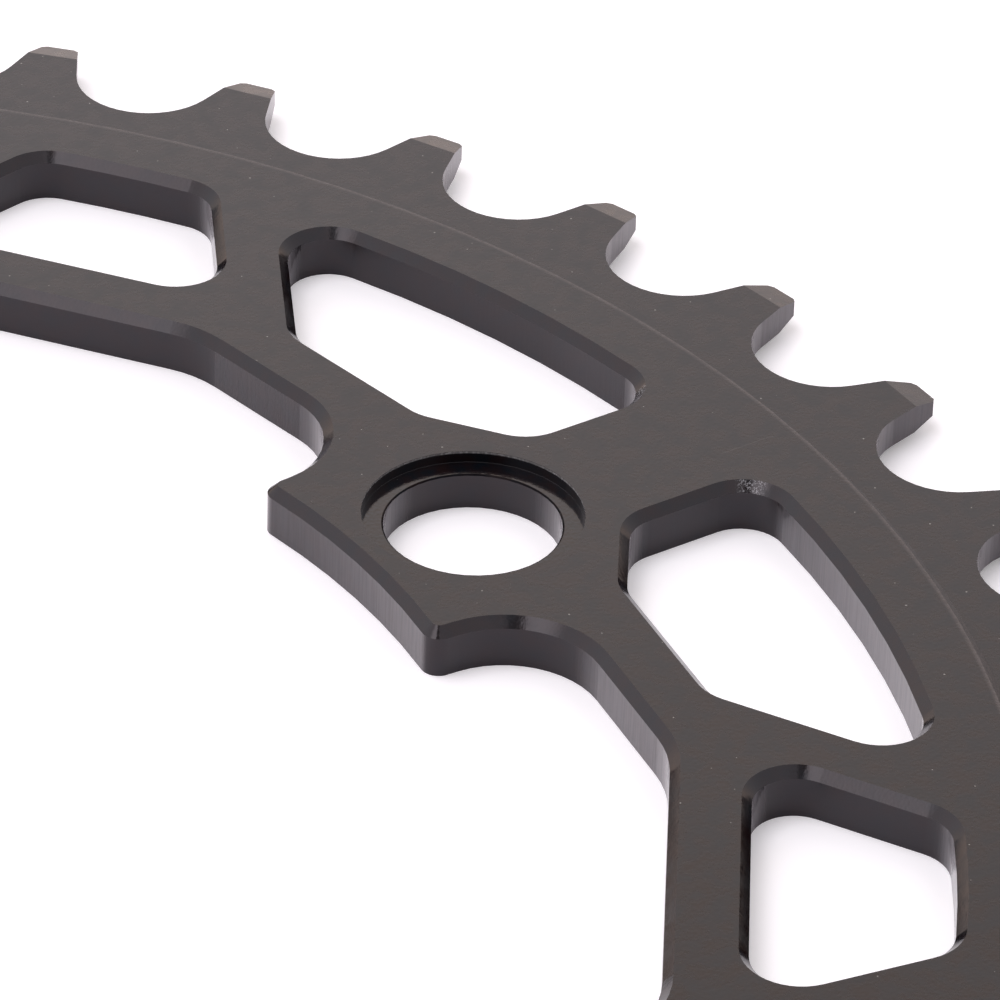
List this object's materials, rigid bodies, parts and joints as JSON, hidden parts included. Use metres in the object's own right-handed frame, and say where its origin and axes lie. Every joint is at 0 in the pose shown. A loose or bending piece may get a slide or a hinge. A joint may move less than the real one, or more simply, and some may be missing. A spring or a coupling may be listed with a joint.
{
  "type": "bicycle chainring",
  "caption": "Flat ring with roller-chain teeth round its edge, lightening windows between slim spokes, and counterbored bolt tabs inside that fix it to a crank's arms.",
  "frame": {"origin": "on the ring's axis, at its back face", "axes": "+Z along the axis out of the counterbored front face, +X through the first bolt hole"},
  "size_m": [0.1705, 0.1705, 0.003],
  "materials": {
    "black_anodised": "black anodised, satin"
  },
  "bodies": {
    "root": {"chainring": "black_anodised"}
  },
  "joints": []
}
